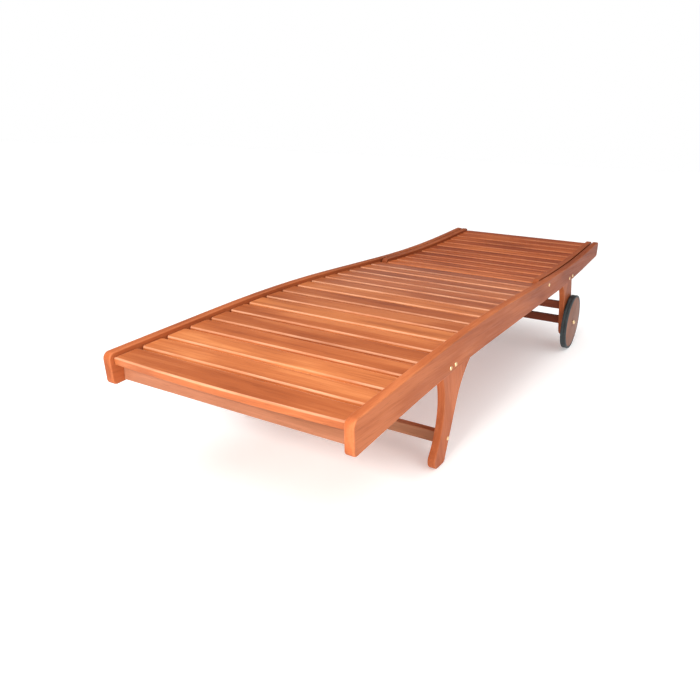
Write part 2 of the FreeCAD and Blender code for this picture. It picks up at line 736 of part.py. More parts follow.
# ---------------------------------------------------------------- bolts
def stepped_bolt(name, centre, side, steps):
    """Solid of revolution along X. steps: (x0, x1, r0, r1) from the right
    side's inner end outwards; mirrored on the left."""
    pieces = []
    for i, (x0, x1, r0, r1) in enumerate(steps, start=1):
        step = doc.addObject("Part::Cone" if r0 != r1 else "Part::Cylinder",
                             "%s_%d" % (name, i))
        if r0 != r1:
            step.Radius1, step.Radius2 = r0, r1
        else:
            step.Radius = r0
        step.Height = x1 - x0
        step.Placement = FreeCAD.Placement(
            Vector(side * x0, centre[0], centre[1]),
            FreeCAD.Rotation(Vector(0, 1, 0), 90.0 * side))
        pieces.append(step)
    return pieces


def bolt_group(name, pieces):
    group = doc.addObject("Part::MultiFuse", name)
    group.Shapes = pieces
    group.Label = name
    group.Refine = True
    nodes.append(group)


head_r, head_h = size("bolt_head_radius"), size("bolt_head_height")


def headed(x_end, x_face, radius):
    """Plain bolt: shank from x_end to x_face, low domed head outside."""
    return [(x_end, x_face, radius, radius),
            (x_face, x_face + head_h * 0.45, head_r, head_r),
            (x_face + head_h * 0.45, x_face + head_h, head_r, head_r * 0.6)]


frame_bolts = []
for suffix, side in (("right", 1), ("left", -1)):
    for i, centre in enumerate(front_bolts + rear_bolts, start=1):
        frame_bolts += stepped_bolt("leg_bolt_%s_%d" % (suffix, i), centre, side,
                                    headed(leg_in, half_width, size("bolt_radius")))
    frame_bolts += stepped_bolt("stretcher_bolt_" + suffix, stretcher_bolt, side,
                                headed(leg_in - SCREW_BITE, rail_in, size("bolt_radius")))
    collar = [(rail_in - size("stile_clear") + 0.5, rail_in,
               size("hinge_radius") * 2, size("hinge_radius") * 2)]
    frame_bolts += stepped_bolt("hinge_bolt_" + suffix, hinge, side,
                                headed(stile_in + 0.5, half_width, size("hinge_radius")) + collar)
bolt_group("frame_bolts", frame_bolts)

prop_bolts = []
for suffix, side in (("right", 1), ("left", -1)):
    pin_r = size("prop_pin_radius")
    prop_bolts += stepped_bolt("prop_bolt_" + suffix, prop_pivot, side,
                               [(arm_in - 1.0, stile_in, pin_r, pin_r),
                                (arm_in - 4.0, arm_in - 1.0, pin_r * 1.8, pin_r * 1.8)])
bolt_group("prop_bolts", prop_bolts)

# ---------------------------------------------------------------- wheels
wheel_in = rail_in + size("wheel_side_clear")
wheel_out = wheel_in + size("wheel_width")
WHEEL_IN = RAIL_IN + " + Sizes.wheel_side_clear"
WHEEL_OUT = WHEEL_IN + " + Sizes.wheel_width"


def turned(name, outline, centre, x_expression=None):
    """Solid of revolution about an axis along X. The outline is (x, radius)."""
    body = new_body(name)
    sketch = new_sketch(body, name + "_profile", "XY_Plane")
    draw(sketch, [("line", p, q) for p, q in zip(outline, outline[1:] + outline[:1])])
    revolution = body.newObject("PartDesign::Revolution", name + "_turned")
    revolution.Profile = sketch
    revolution.ReferenceAxis = (sketch, ["H_Axis"])
    revolution.Angle = 360.0
    sketch.Visibility = False
    body.Placement.Base = Vector(0, centre[0], centre[1])
    if x_expression:
        place_x(body, x_expression)
    return body


cap = size("axle_cap_radius")
rod = size("axle_radius")
half_axle = [(rail_in, rod), (rail_in, cap + 1.5), (wheel_in - 0.5, cap + 1.5),
             (wheel_in - 0.5, rod), (wheel_out + 0.5, rod), (wheel_out + 0.5, cap),
             (wheel_out + 4.0, cap), (wheel_out + 7.5, cap * 0.62),
             (wheel_out + 8.5, cap * 0.25)]
axle_outline = [(-x, r) for x, r in reversed(half_axle)] + half_axle
axle_outline = [(axle_outline[0][0], 0.0)] + axle_outline + [(axle_outline[-1][0], 0.0)]
turned("axle", axle_outline, axle)

disc_radius = size("wheel_radius") - size("tyre_section")


def wheel(suffix, side):
    name = "wheel_disc_" + suffix
    body = new_body(name)
    sketch = new_sketch(body, name + "_profile", "YZ_Plane")
    rim = sketch.addGeometry(Part.Circle(Vector(axle[0], axle[1], 0),
                                         Vector(0, 0, 1), disc_radius), False)
    bind(sketch, "rim", Sketcher.Constraint("Radius", rim, disc_radius),
         "Sizes.wheel_radius - Sizes.tyre_section")
    hole(sketch, 1, axle, "axle_radius", "running_clear")
    pad(body, sketch, "Sizes.wheel_width")
    place_x(body, across(side, WHEEL_IN, WHEEL_OUT))

    width, r = size("wheel_width"), size("wheel_radius")
    mid, g, soft = width / 2, size("tread_groove"), 2.0
    turned("wheel_tyre_" + suffix,
           [(0.0, disc_radius), (width, disc_radius), (width, r - soft),
            (width - soft * 0.3, r - soft * 0.3), (width - soft, r),
            (mid + g, r), (mid + g * 0.6, r - g), (mid - g * 0.6, r - g), (mid - g, r),
            (soft, r), (soft * 0.3, r - soft * 0.3), (0.0, r - soft)],
           axle, across(side, WHEEL_IN, WHEEL_OUT))


both_sides(wheel)

# ---------------------------------------------------------------- checks, export
doc.recompute()
for item in doc.Objects:
    for state in item.State:
        if state in ("Invalid", "Error"):
            raise RuntimeError("%s is %s" % (item.Name, state))

labels = [node.Label for node in nodes]
if len(set(labels)) != len(labels):
    raise RuntimeError("two sub-parts share a label")
for node in nodes:
    shape = node.Shape
    if shape.isNull() or not shape.isValid() or not shape.Solids:
        raise RuntimeError("%s has no valid solid" % node.Label)
    if min(solid.Volume for solid in shape.Solids) <= 0:
        raise RuntimeError("%s has no volume" % node.Label)

for node in nodes:
    node.Shape.exportStep("parts/%s.step" % node.Label)
print("%d sub-parts" % len(nodes))
print("hinge %.6f %.6f" % hinge)
print("axle %.2f %.2f" % axle)
print("prop pivot %.6f %.6f" % prop_pivot)
print("foot bar %.2f %.2f" % bar_rest)
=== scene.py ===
import bpy, bmesh, math
from mathutils import Vector, Matrix


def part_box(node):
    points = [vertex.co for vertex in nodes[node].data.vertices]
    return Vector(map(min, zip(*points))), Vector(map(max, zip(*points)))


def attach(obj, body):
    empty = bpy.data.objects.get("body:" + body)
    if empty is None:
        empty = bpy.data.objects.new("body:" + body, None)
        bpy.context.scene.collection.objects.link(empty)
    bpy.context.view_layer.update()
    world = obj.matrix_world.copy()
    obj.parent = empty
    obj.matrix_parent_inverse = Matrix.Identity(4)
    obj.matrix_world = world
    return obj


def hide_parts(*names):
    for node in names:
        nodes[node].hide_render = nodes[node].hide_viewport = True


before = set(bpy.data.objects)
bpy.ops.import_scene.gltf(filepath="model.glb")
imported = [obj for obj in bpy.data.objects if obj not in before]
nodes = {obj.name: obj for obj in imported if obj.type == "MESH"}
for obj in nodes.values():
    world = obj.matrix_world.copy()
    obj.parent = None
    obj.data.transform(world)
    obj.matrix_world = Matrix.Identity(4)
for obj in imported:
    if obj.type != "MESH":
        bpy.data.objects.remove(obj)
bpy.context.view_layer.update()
sides = {"right": 1, "left": -1}
print("lounger frame loaded,", len(nodes), "nodes")


# camera and room

cameraLook = {"place": (0.8316, -1.8760, 0.7562), "yaw": 28.897, "pitch": 19.054,
              "roll": 2.488, "lens": 33.16, "shift": (-0.030, 0.020)}


def addCamera(look):
    yaw, pitch, roll = (math.radians(look[k]) for k in ("yaw", "pitch", "roll"))
    ahead = Vector((-math.sin(yaw) * math.cos(pitch), math.cos(yaw) * math.cos(pitch),
                    -math.sin(pitch)))
    right = ahead.cross(Vector((0, 0, 1))).normalized()
    up = right.cross(ahead)
    tiltedRight = right * math.cos(roll) + up * math.sin(roll)
    tiltedUp = up * math.cos(roll) - right * math.sin(roll)
    camera = bpy.data.objects.new("camera", bpy.data.cameras.new("camera"))
    camera.data.sensor_width = 36.0
    camera.data.lens = look["lens"]
    camera.data.shift_x, camera.data.shift_y = look["shift"]
    camera.data.clip_start = 0.05
    turn = Matrix((tiltedRight, tiltedUp, -ahead)).transposed().to_4x4()
    camera.matrix_world = Matrix.Translation(look["place"]) @ turn
    bpy.context.scene.collection.objects.link(camera)
    bpy.context.scene.camera = camera


def addAreaLight(name, place, aim, size, power, colour=(1, 1, 1)):
    lamp = bpy.data.lights.new(name, "AREA")
    lamp.shape = "DISK"
    lamp.size = size
    lamp.energy = power
    lamp.color = colour
    light = bpy.data.objects.new(name, lamp)
    light.location = place
    light.rotation_euler = (Vector(aim) - Vector(place)).to_track_quat("-Z", "Y").to_euler()
    bpy.context.scene.collection.objects.link(light)


studio = {"backTone": 1.0, "horizonTone": 0.80, "skyTone": 0.14, "horizonRise": (0.165, 0.21),
          "topLight": 2.55, "topSoftness": 80.0,
          "keyPower": 55.0, "keyPlace": (0.40, -2.75, 1.34), "keyAim": (0.0, -0.3, 0.3), "keySize": 0.45,
          "keyColour": (1.0, 0.97, 0.92),
          "fillPower": 20.0, "fillPlace": (3.2, -1.6, 1.8), "fillAim": (0.1, 0.2, 0.25), "fillSize": 2.0,
          "floorTone": 0.80, "floorGlow": 0.31, "floorSize": 30.0, "floorDrop": 0.0006}


def addStudio(look):
    # a plain white backdrop that lights the boards less from overhead,
    # so that the oiled tops keep their colour
    world = bpy.data.worlds.new("studioWorld")
    world.use_nodes = True
    tree = world.node_tree
    apart = addNode(tree, "ShaderNodeSeparateXYZ")
    tree.links.new(addNode(tree, "ShaderNodeTexCoord").outputs["Generated"], apart.inputs[0])
    sky = remap(tree, apart.outputs["Z"], *look["horizonRise"], look["horizonTone"], look["skyTone"])
    seen = addNode(tree, "ShaderNodeLightPath").outputs["Is Camera Ray"]
    backdrop = blendColour(tree, seen, sky, (look["backTone"],) * 3)
    tree.links.new(backdrop, tree.nodes["Background"].inputs["Color"])
    bpy.context.scene.world = world
    bpy.context.scene.view_settings.view_transform = "Standard"
    top = bpy.data.lights.new("topLight", "SUN")
    top.energy = look["topLight"]
    top.angle = math.radians(look["topSoftness"])
    bpy.context.scene.collection.objects.link(bpy.data.objects.new("topLight", top))
    addAreaLight("keyLight", look["keyPlace"], look["keyAim"], look["keySize"], look["keyPower"],
                 look["keyColour"])
    addAreaLight("fillLight", look["fillPlace"], look["fillAim"], look["fillSize"], look["fillPower"])
    bm = bmesh.new()
    bmesh.ops.create_grid(bm, x_segments=1, y_segments=1, size=look["floorSize"])
    bmesh.ops.translate(bm, verts=bm.verts, vec=(0, 0, -look["floorDrop"]))
    floor = newObject("studioFloor", bm)
    floor.data.materials.append(floorPaper(look["floorTone"], look["floorGlow"]))


# mesh helpers

arrisHighlight = {"slat": 0.46, "board": 0.22}  # painted highlight: paler rounded edges where the light catches them; the wood materials read this as "arris"


def newObject(name, bm):
    mesh = bpy.data.meshes.new(name)
    bm.to_mesh(mesh)
    bm.free()
    piece = bpy.data.objects.new(name, mesh)
    bpy.context.scene.collection.objects.link(piece)
    return piece


def finishPiece(piece, material, body, slot, *cadNodes):
    piece.data.materials.clear()
    piece.data.materials.append(material)
    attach(piece, body)
    if cadNodes:
        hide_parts(*cadNodes)
    return piece


def evenNormals(piece):
    even = piece.modifiers.new("evenNormals", "WEIGHTED_NORMAL")
    even.keep_sharp = True
    even.weight = 90


def sharpLoops(bm, angle):
    # connected runs of sharp edges
    left = {e for e in bm.edges if len(e.link_faces) == 2 and e.calc_face_angle(0.0) > angle}
    loops = []
    while left:
        todo, loop = [left.pop()], []
        while todo:
            edge = todo.pop()
            loop.append(edge)
            for vert in edge.verts:
                near = [e for e in vert.link_edges if e in left]
                left.difference_update(near)
                todo += near
        loops.append(loop)
    return loops


def loopSize(loop):
    spots = [v.co for e in loop for v in e.verts]
    return max(max(p[i] for p in spots) - min(p[i] for p in spots) for i in range(3))


def mergedCopy(node):
    bm = bmesh.new()
    bm.from_mesh(nodes[node].data)
    bmesh.ops.remove_doubles(bm, verts=bm.verts, dist=2e-5)
    bmesh.ops.dissolve_limit(bm, angle_limit=math.radians(0.4), verts=bm.verts, edges=bm.edges)
    return bm


def smoothFaces(bm, creaseAngle):
    for face in bm.faces:
        face.smooth = True
    for edge in bm.edges:
        if len(edge.link_faces) == 2 and edge.calc_face_angle(0.0) > math.radians(creaseAngle):
            edge.smooth = False


def easedCopy(node, easing, segments=3, holeSize=0.02):
    # the board with its long arrises eased, and the edges of its drilled holes left crisp
    bm = mergedCopy(node)
    arris = bm.verts.layers.float.new("arris")
    edges = [e for loop in sharpLoops(bm, math.radians(30)) if loopSize(loop) > holeSize for e in loop]
    made = bmesh.ops.bevel(bm, geom=edges, offset=easing, offset_type="OFFSET", segments=segments,
                           profile=0.5, affect="EDGES", material=-1, clamp_overlap=True)
    rounded = set(made["faces"])
    # painted highlight: vertices on the eased faces get the arris value, so the materials paint those edges
    # paler
    for vert in made["verts"]:
        if all(f in rounded for f in vert.link_faces):
            vert[arris] = arrisHighlight["board"]
    smoothFaces(bm, 40)
    piece = newObject(node + ".eased", bm)
    evenNormals(piece)
    return piece


def lathe(bm, profile, centre, side=1, steps=64):
    # profile is a list of (x, radius), turned about the X axis through centre
    verts = [bm.verts.new((side * x, centre[0], centre[1] + r)) for x, r in profile]
    edges = [bm.edges.new(pair) for pair in zip(verts, verts[1:])]
    bmesh.ops.spin(bm, geom=verts + edges, cent=(0, centre[0], centre[1]), axis=(1, 0, 0),
                   dvec=(0, 0, 0), angle=math.tau, steps=steps, use_merge=True)


def closeTurned(bm, creaseAngle=35):
    bmesh.ops.remove_doubles(bm, verts=bm.verts, dist=1e-6)
    bmesh.ops.recalc_face_normals(bm, faces=bm.faces)
    smoothFaces(bm, creaseAngle)


# material helpers

def newMaterial(name):
    material = bpy.data.materials.new(name)
    material.use_nodes = True
    tree = material.node_tree
    return material, tree, tree.nodes["Principled BSDF"]


def addNode(tree, kind, **settings):
    node = tree.nodes.new(kind)
    for key, value in settings.items():
        setattr(node, key, value)
    return node


def feed(tree, value, socket):
    if isinstance(value, bpy.types.NodeSocket):
        tree.links.new(value, socket)
    else:
        socket.default_value = value


def sums(tree, operation, a, b=0.0):
    node = addNode(tree, "ShaderNodeMath", operation=operation)
    feed(tree, a, node.inputs[0])
    feed(tree, b, node.inputs[1])
    return node.outputs[0]


def noise(tree, vector, scale, detail=3.0, roughness=0.55, distortion=0.0):
    node = addNode(tree, "ShaderNodeTexNoise")
    tree.links.new(vector, node.inputs["Vector"])
    node.inputs["Scale"].default_value = scale
    node.inputs["Detail"].default_value = detail
    node.inputs["Roughness"].default_value = roughness
    node.inputs["Distortion"].default_value = distortion
    return node.outputs["Fac"]


def remap(tree, value, low, high, toLow=0.0, toHigh=1.0):
    node = addNode(tree, "ShaderNodeMapRange")
    tree.links.new(value, node.inputs["Value"])
    for key, number in zip(("From Min", "From Max", "To Min", "To Max"), (low, high, toLow, toHigh)):
        node.inputs[key].default_value = number
    return node.outputs["Result"]


def mapped(tree, vector, rotation=(0, 0, 0), scale=(1, 1, 1)):
    node = addNode(tree, "ShaderNodeMapping")
    tree.links.new(vector, node.inputs["Vector"])
    node.inputs["Rotation"].default_value = [math.radians(a) for a in rotation]
    node.inputs["Scale"].default_value = scale
    return node.outputs["Vector"]


def ramp(tree, value, stops):
    node = addNode(tree, "ShaderNodeValToRGB")
    tree.links.new(value, node.inputs["Fac"])
    band = node.color_ramp
    band.interpolation = "EASE"
    while len(band.elements) < len(stops):
        band.elements.new(0.5)
    for element, (place, colour) in zip(band.elements, stops):
        element.position = place
        element.color = (*colour, 1.0)
    return node.outputs["Color"]


def blendColour(tree, amount, a, b, mode="MIX"):
    node = addNode(tree, "ShaderNodeMix", data_type="RGBA", blend_type=mode)
    feed(tree, amount, node.inputs[0])
    feed(tree, a if isinstance(a, bpy.types.NodeSocket) else (*a, 1.0), node.inputs[6])
    feed(tree, b if isinstance(b, bpy.types.NodeSocket) else (*b, 1.0), node.inputs[7])
    return node.outputs[2]


def addBump(tree, shader, height, strength, distance):
    bump = addNode(tree, "ShaderNodeBump")
    tree.links.new(height, bump.inputs["Height"])
    bump.inputs["Strength"].default_value = strength
    bump.inputs["Distance"].default_value = distance
    tree.links.new(bump.outputs["Normal"], shader.inputs["Normal"])


# oiled hardwood

woodGrain = {  # stretch along the grain, detail, roughness, distortion
    "figure": (0.06, 3.0, 0.5, 1.0), "fibre": (0.03, 4.0, 0.6, 0.0), "pore": (0.05, 2.0, 0.5, 0.0),
    "cloud": (0.30, 2.0, 0.5, 0.0), "highlightPatch": (0.12, 3.0, 0.6, 0.0)}
woodFinish = {"figureShare": 0.36, "fibreShare": 0.18, "cloudShare": 0.46, "contrast": (0.38, 0.62),
              "poreBand": (0.60, 0.72), "poreDip": 0.8, "glossBand": (0.08, -0.05),
              "highlightPatchScale": 60.0, "highlightPatchBand": (0.32, 0.66), "highlightPatchLeast": 0.35,
              "boardShift": (7.0, 0.37), "bump": 0.22, "bumpDepth": 0.0006}


def grainNoise(tree, along, kind, scale):
    stretch, detail, roughness, distortion = woodGrain[kind]
    return noise(tree, mapped(tree, along, scale=(1.0, stretch, 1.0)), scale, detail, roughness, distortion)


def heightAlong(tree, place):
    # how far up the lounger a point is
    apart = addNode(tree, "ShaderNodeSeparateXYZ")
    tree.links.new(place, apart.inputs[0])
    return apart.outputs["Y"]


def eachBoard(tree, place, boards, seed):
    # a tone between 0 and 1 for each slat of a row, and the grain moved on from slat to slat
    start, pitch = boards
    number = sums(tree, "DIVIDE", sums(tree, "SUBTRACT", heightAlong(tree, place), start), pitch)
    number = sums(tree, "FLOOR", number)
    dice = addNode(tree, "ShaderNodeTexWhiteNoise", noise_dimensions="1D")
    tree.links.new(sums(tree, "ADD", number, seed), dice.inputs["W"])
    tone = dice.outputs["Value"]
    offset = addNode(tree, "ShaderNodeCombineXYZ")
    shiftX, shiftZ = woodFinish["boardShift"]
    tree.links.new(sums(tree, "MULTIPLY", tone, shiftX), offset.inputs["X"])
    tree.links.new(sums(tree, "MULTIPLY", number, shiftZ), offset.inputs["Z"])
    moved = addNode(tree, "ShaderNodeVectorMath", operation="ADD")
    tree.links.new(place, moved.inputs[0])
    tree.links.new(offset.outputs[0], moved.inputs[1])
    return tone, moved.outputs[0]


def oiledWood(name, look, turn=(0, 0, 0), boards=None):
    # the grain lies along the turned Y axis; boards is the start and pitch of a row of slats
    finish = woodFinish
    material, tree, shader = newMaterial(name)
    place = grainPlace = addNode(tree, "ShaderNodeTexCoord").outputs["Object"]
    if boards:
        tone, grainPlace = eachBoard(tree, place, boards, look["seed"])
    along = mapped(tree, grainPlace, turn)
    figure, fibre, pores, cloud = (grainNoise(tree, along, kind, look[kind + "Scale"])
                                   for kind in ("figure", "fibre", "pore", "cloud"))
    # this noise breaks the painted arris highlight into patches
    highlightPatch = grainNoise(tree, along, "highlightPatch", finish["highlightPatchScale"])

    mixValue = sums(tree, "ADD", sums(tree, "MULTIPLY", figure, finish["figureShare"]),
                    sums(tree, "MULTIPLY", fibre, finish["fibreShare"]))
    mixValue = sums(tree, "ADD", mixValue, sums(tree, "MULTIPLY", cloud, finish["cloudShare"]))
    colour = ramp(tree, remap(tree, mixValue, *finish["contrast"]), look["stops"])
    dark = remap(tree, pores, *finish["poreBand"], 0.0, look["poreDepth"])
    colour = blendColour(tree, dark, colour, look["poreColour"])
    if boards:
        colour = blendColour(tree, 1.0, colour, ramp(tree, tone, look["boardTints"]), "MULTIPLY")
    if "headShade" in look:  # painted shade: the colour darkens towards the head, where the light falls off
        fadeStart, fadeEnd, fadeTint = look["headShade"]
        fading = remap(tree, heightAlong(tree, place), fadeStart, fadeEnd)
        tint = blendColour(tree, fading, (1.0, 1.0, 1.0), fadeTint)
        colour = blendColour(tree, 1.0, colour, tint, "MULTIPLY")
    # painted highlight: the arris value, broken into patches, blends a paler colour onto the rounded edges
    arrisHighlightMask = addNode(tree, "ShaderNodeAttribute", attribute_name="arris").outputs["Fac"]
    patchy = remap(tree, highlightPatch, *finish["highlightPatchBand"], finish["highlightPatchLeast"], 1.0)
    colour = blendColour(tree, sums(tree, "MULTIPLY", arrisHighlightMask, patchy), colour, look["arrisHighlightColour"])
    tree.links.new(colour, shader.inputs["Base Color"])

    dull, bright = (look["gloss"] + change for change in finish["glossBand"])
    tree.links.new(remap(tree, fibre, 0.3, 0.7, dull, bright), shader.inputs["Roughness"])
    shader.inputs["Specular IOR Level"].default_value = look["sheen"]
    height = sums(tree, "SUBTRACT", fibre, sums(tree, "MULTIPLY", dark, finish["poreDip"]))
    addBump(tree, shader, height, finish["bump"], finish["bumpDepth"])
    return material


def threeTones(deep, middle, light):
    return [(0.0, deep), (0.5, middle), (1.0, light)]


# each look's arris colour is the painted highlight on its rounded edges
railLook = {"figureScale": 24.0, "fibreScale": 260.0, "poreScale": 520.0, "cloudScale": 9.0,
            "poreDepth": 0.25, "poreColour": (0.14, 0.034, 0.014), "arrisHighlightColour": (0.66, 0.27, 0.13),
            "gloss": 0.46, "sheen": 0.10,
            "stops": threeTones((0.33, 0.080, 0.026), (0.44, 0.116, 0.038), (0.54, 0.158, 0.056))}
# painted shade: the rails darken towards the head, where the light falls off
longLook = {**railLook, "headShade": (-0.5, 0.9, (0.66, 0.53, 0.45))}
# painted light: a lighter copy of the rail wood for the front legs' brighter lit faces
frontLegLitLook = {**railLook, "stops": threeTones((0.38, 0.092, 0.032), (0.49, 0.130, 0.045), (0.60, 0.176, 0.066))}
# painted shade: a darker copy of the rail wood for the rear stretchers, which sit in shade under the seat
rearShadeLook = {**railLook, "stops": threeTones((0.13, 0.033, 0.018), (0.19, 0.050, 0.026), (0.26, 0.072, 0.038))}
paleLook = {**railLook, "stops": threeTones((0.28, 0.105, 0.052), (0.40, 0.155, 0.082), (0.50, 0.21, 0.115))}
# painted light: a lighter copy of the rail wood for the front stretcher, as though lit under the seat's
# shadow
footLitLook = {**railLook, "stops": threeTones((0.42, 0.195, 0.105), (0.56, 0.270, 0.150), (0.68, 0.350, 0.205))}
# the slat look's fade is painted shade towards the head
slatLook = {"figureScale": 30.0, "fibreScale": 280.0, "poreScale": 560.0, "cloudScale": 10.0,
            "poreDepth": 0.30, "poreColour": (0.16, 0.038, 0.013), "arrisHighlightColour": (0.95, 0.56, 0.36),
            "gloss": 0.35, "sheen": 0.20, "headShade": (-0.40, 0.25, (0.80, 0.64, 0.52)), "seed": 56.0,
            "stops": threeTones((0.37, 0.092, 0.026), (0.53, 0.150, 0.045), (0.68, 0.226, 0.076)),
            "boardTints": [(0.0, (0.70, 0.62, 0.60)), (0.3, (0.82, 0.76, 0.74)), (0.6, (0.92, 0.92, 0.92)),
                           (0.8, (1.0, 1.04, 1.06)), (1.0, (1.06, 1.16, 1.20))]}
# painted shade: a darker copy of the seat slat look for the backrest, which gets less light, and its fade
# darkens it further towards the head
backrestShadeLook = {**slatLook, "arrisHighlightColour": (0.72, 0.32, 0.16), "gloss": 0.40, "sheen": 0.10,
            "headShade": (0.25, 1.0, (0.92, 0.86, 0.82)), "seed": 127.0,
            "stops": threeTones((0.29, 0.056, 0.014), (0.42, 0.090, 0.023), (0.56, 0.142, 0.038))}
wheelLook = {"figureScale": 34.0, "fibreScale": 260.0, "poreScale": 500.0, "cloudScale": 16.0,
             "poreDepth": 0.35, "poreColour": (0.10, 0.045, 0.028), "arrisHighlightColour": (0.46, 0.26, 0.18),
             "gloss": 0.50, "sheen": 0.15,
             "stops": threeTones((0.18, 0.078, 0.050), (0.29, 0.125, 0.080), (0.38, 0.180, 0.118))}


rubberLook = {"stops": [(0.0, (0.016, 0.024, 0.026)), (0.6, (0.030, 0.044, 0.048)),
                        (1.0, (0.066, 0.086, 0.092))], "roughness": (0.48, 0.68)}
brassLook = {"stops": [(0.0, (0.95, 0.76, 0.46)), (0.7, (0.84, 0.62, 0.34)), (1.0, (0.55, 0.37, 0.18))],
             "roughness": (0.24, 0.44)}
steelLook = {"stops": [(0.0, (0.42, 0.42, 0.43)), (1.0, (0.66, 0.66, 0.67))], "roughness": (0.26, 0.42)}


def tyreRubber():
    material, tree, shader = newMaterial("tyreRubber")
    place = addNode(tree, "ShaderNodeTexCoord").outputs["Object"]
    dust = noise(tree, place, 38.0, 4.0, 0.6)
    grain = noise(tree, place, 900.0, 2.0, 0.5)
    colour = ramp(tree, remap(tree, dust, 0.35, 0.7), rubberLook["stops"])
    tree.links.new(colour, shader.inputs["Base Color"])
    tree.links.new(remap(tree, dust, 0.3, 0.7, *rubberLook["roughness"]), shader.inputs["Roughness"])
    addBump(tree, shader, grain, 0.25, 0.0003)
    return material


def dulledBrass():
    material, tree, shader = newMaterial("dulledBrass")
    place = addNode(tree, "ShaderNodeTexCoord").outputs["Object"]
    spots = noise(tree, place, 320.0, 3.0, 0.6)
    colour = ramp(tree, remap(tree, spots, 0.35, 0.7), brassLook["stops"])
    tree.links.new(colour, shader.inputs["Base Color"])
    shader.inputs["Metallic"].default_value = 1.0
    tree.links.new(remap(tree, spots, 0.3, 0.7, *brassLook["roughness"]), shader.inputs["Roughness"])
    addBump(tree, shader, spots, 0.12, 0.0002)
    return material


def brushedSteel():
    material, tree, shader = newMaterial("brushedSteel")
    place = addNode(tree, "ShaderNodeTexCoord").outputs["Object"]
    brush = noise(tree, mapped(tree, place, scale=(0.05, 1.0, 1.0)), 900.0, 3.0, 0.6)
    colour = ramp(tree, remap(tree, brush, 0.3, 0.7), steelLook["stops"])
    tree.links.new(colour, shader.inputs["Base Color"])
    shader.inputs["Metallic"].default_value = 1.0
    tree.links.new(remap(tree, brush, 0.3, 0.7, *steelLook["roughness"]), shader.inputs["Roughness"])
    addBump(tree, shader, brush, 0.15, 0.0002)
    return material


def floorPaper(tone, glow):
    material, tree, shader = newMaterial("floorPaper")
    place = addNode(tree, "ShaderNodeTexCoord").outputs["Object"]
    patch = noise(tree, place, 0.6, 1.0, 0.5)
    colour = ramp(tree, patch, [(0.3, (tone,) * 3), (0.7, (tone + 0.02,) * 3)])
    tree.links.new(colour, shader.inputs["Base Color"])
    shader.inputs["Roughness"].default_value = 0.9
    shader.inputs["Specular IOR Level"].default_value = 0.1
    shader.inputs["Emission Color"].default_value = (1.0, 1.0, 1.0, 1.0)
    shader.inputs["Emission Strength"].default_value = glow
    return material


addCamera(cameraLook)
addStudio(studio)
print("camera and studio ready")


# slats

def rowOf(prefix):
    return sorted(n for n in nodes if n.startswith(prefix))


def rowSpacing(names):
    # start and pitch of a row of slats, from the middles of its second and last
    middles = [sum((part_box(n)[0][1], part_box(n)[1][1])) / 2 for n in (names[1], names[-1])]
    pitch = (middles[1] - middles[0]) / (len(names) - 2)
    return middles[0] - 1.5 * pitch, pitch


slatShape = {"topRound": 0.0042, "lowRound": 0.0012, "corner": 0.0085, "bowSteps": 40}


def roundEdges(bm, edges, width, segments):
    bmesh.ops.bevel(bm, geom=edges, offset=width, offset_type="OFFSET", segments=segments,
                    profile=0.5, affect="EDGES", material=-1, clamp_overlap=True)


def slatBoard(node, shape):
    # the size, bow and tilt of the CAD board, with evenly rounded arrises
    bm = mergedCopy(node)
    under = max((f for f in bm.faces if f.normal.z < -0.5), key=lambda f: f.calc_area())
    tilt = Matrix.Rotation(math.atan2(under.normal.y, -under.normal.z), 3, "X")
    spots = [tilt.transposed() @ v.co for v in bm.verts]
    bm.free()
    low, high = (Vector([pick(p[i] for p in spots) for i in range(3)]) for pick in (min, max))
    middle = (low + high) / 2
    endFront = min(p.y for p in spots if p.x > high.x - 0.0075 and p.y < middle.y)
    bow = max(0.0, endFront - low.y - 0.001)
    size = Vector((high.x - low.x, high.y - low.y - bow, high.z - low.z))
    bm = bmesh.new()
    arris = bm.verts.layers.float.new("arris")
    bmesh.ops.create_cube(bm, size=1.0)
    bmesh.ops.scale(bm, verts=bm.verts, vec=size)
    upright = [e for e in bm.edges if abs(e.verts[0].co.z - e.verts[1].co.z) > size.z / 2]
    if bow:
        upright = [e for e in upright if e.verts[0].co.y > 0]
    roundEdges(bm, upright, shape["corner"], 5)
    if bow:
        front = [e for e in bm.edges if all(v.co.y < 1e-5 - size.y / 2 for v in e.verts)
                 and abs(e.verts[0].co.x - e.verts[1].co.x) > size.x / 2]
        bmesh.ops.subdivide_edges(bm, edges=front, cuts=shape["bowSteps"])
        for vert in bm.verts:
            if vert.co.y < 1e-5 - size.y / 2:
                vert.co.y -= bow * (1 - (2 * vert.co.x / size.x) ** 2)
    for level, width, segments in ((size.z / 2, shape["topRound"], 5), (-size.z / 2, shape["lowRound"], 2)):
        rim = [e for e in bm.edges if all(abs(v.co.z - level) < 1e-6 for v in e.verts)]
        roundEdges(bm, rim, width, segments)
    # painted highlight: the rounded top arris gets the arris value, so the materials paint it paler
    for vert in bm.verts:
        if 1e-5 < size.z / 2 - vert.co.z < shape["topRound"] - 1e-5:
            vert[arris] = arrisHighlight["slat"]
    bmesh.ops.translate(bm, verts=bm.verts, vec=(middle.x, high.y - size.y / 2, middle.z))
    bmesh.ops.rotate(bm, verts=bm.verts, cent=(0, 0, 0), matrix=tilt)
    smoothFaces(bm, 40)
    piece = newObject(node + ".board", bm)
    evenNormals(piece)
    return piece


acrossGrain = (0, 0, 90)  # for boards that lie across the lounger

for prefix, body, look in (("seat_slat", "frame", slatLook), ("backrest_slat", "backrest", backrestShadeLook)):
    names = rowOf(prefix)
    slatWood = oiledWood(prefix + "Wood", look, acrossGrain, rowSpacing(names))
    for name in names:
        finishPiece(slatBoard(name, slatShape), slatWood, body, "slat_wood", name)
print("slats finished")


# boards

